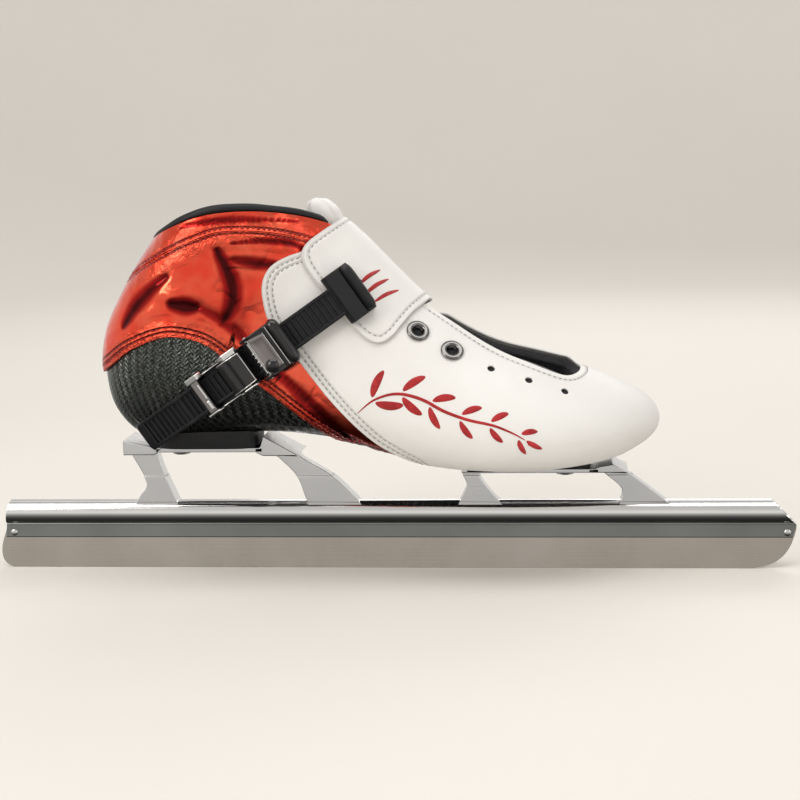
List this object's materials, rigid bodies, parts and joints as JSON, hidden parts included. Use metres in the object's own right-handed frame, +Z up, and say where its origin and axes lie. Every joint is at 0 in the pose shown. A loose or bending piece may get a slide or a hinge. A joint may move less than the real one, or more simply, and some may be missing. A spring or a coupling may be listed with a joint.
{
  "type": "speed skate",
  "caption": "Low-cut speed skate for the right foot: leather boot with a carbon heel cup, ankle strap and ratchet buckle, on bolted stands over a long straight runner.",
  "frame": {"origin": "middle of the runner's flat lower edge", "axes": "+X towards the toe along the runner, +Y towards the inner side of the foot, +Z up"},
  "size_m": [0.4056, 0.0965, 0.1879],
  "materials": {
    "runner_steel": "fine ground, satin",
    "polished_aluminium": "polished",
    "fastener_steel": "zinc plated",
    "carbon_fibre": "twill carbon weave under clear resin",
    "red_leather": "metallic foil coated, mirror gloss, creased",
    "white_leather": "smooth, semi-matte",
    "black_lining": "knit lining over foam",
    "black_plastic": "moulded, fine grain",
    "black_gloss": "glossy moulded",
    "buckle_metal": "black nickel, bright edges",
    "eyelet_metal": "gunmetal plated"
  },
  "bodies": {
    "blade_unit": {"runner": "runner_steel", "blade_tube": "polished_aluminium", "rear_rivet": "fastener_steel", "front_rivet": "fastener_steel", "rear_stand": "polished_aluminium", "front_stand": "polished_aluminium"},
    "boot": {"heel_cup_shell": "carbon_fibre", "quarter": "red_leather", "vamp": "white_leather", "liner": "black_lining", "collar_binding": "black_lining", "insole": "black_lining", "tongue": "white_leather", "ankle_strap": "white_leather", "eyelet_inner_1": "eyelet_metal", "eyelet_outer_1": "eyelet_metal", "eyelet_inner_2": "eyelet_metal", "eyelet_outer_2": "eyelet_metal", "heel_mount_block": "black_plastic", "toe_mount_block": "black_plastic", "heel_washer": "fastener_steel", "heel_bolt": "fastener_steel", "heel_insert": "fastener_steel", "toe_washer": "fastener_steel", "toe_bolt": "fastener_steel", "toe_insert": "fastener_steel", "buckle_seat": "black_plastic", "buckle_base": "buckle_metal", "buckle_screw": "fastener_steel", "buckle_nut": "fastener_steel", "release_pin": "fastener_steel", "lever_pin": "fastener_steel", "release_spring": "fastener_steel", "lever_spring": "fastener_steel"},
    "ladder": {"ladder_strap": "black_plastic", "anchor_block": "black_plastic"},
    "release": {"release_lever": "black_gloss"},
    "lever": {"ratchet_lever": "black_gloss", "pawl_pin": "fastener_steel"},
    "pawl": {"drive_pawl": "buckle_metal"}
  },
  "joints": [
    {"name": "blade_offset", "type": "slide", "parent": "blade_unit", "child": "boot", "axis": [0, 1, 0], "range_m": [-0.004, 0.004]},
    {"name": "ladder_feed", "type": "hinge", "parent": "boot", "child": "ladder", "pos_m": [-0.0636, 0.13, 0.1096], "axis": [-0.5664, 0, 0.8241], "range_deg": [-2, 2.7], "deforming": ["ankle_strap"]},
    {"name": "release_press", "type": "hinge", "parent": "boot", "child": "release", "pos_m": [-0.06558, -0.0478, 0.10824], "axis": [-0.5664, 0, 0.8241], "range_deg": [0, 12], "stiffness_Nm_per_rad": 0.03, "springref_deg": -22.92, "deforming": ["release_spring"]},
    {"name": "lever_lift", "type": "hinge", "parent": "boot", "child": "lever", "pos_m": [-0.05684, -0.0474, 0.11424], "axis": [0.5664, 0, -0.8241], "range_deg": [0, 70], "stiffness_Nm_per_rad": 0.03, "springref_deg": -34.38, "deforming": ["lever_spring"]},
    {"name": "pawl_swing", "type": "hinge", "parent": "lever", "child": "pawl", "pos_m": [-0.0519, -0.0478, 0.11764], "axis": [-0.5664, 0, 0.8241], "range_deg": [0, 14], "stiffness_Nm_per_rad": 0.008, "springref_deg": -22.92}
  ]
}
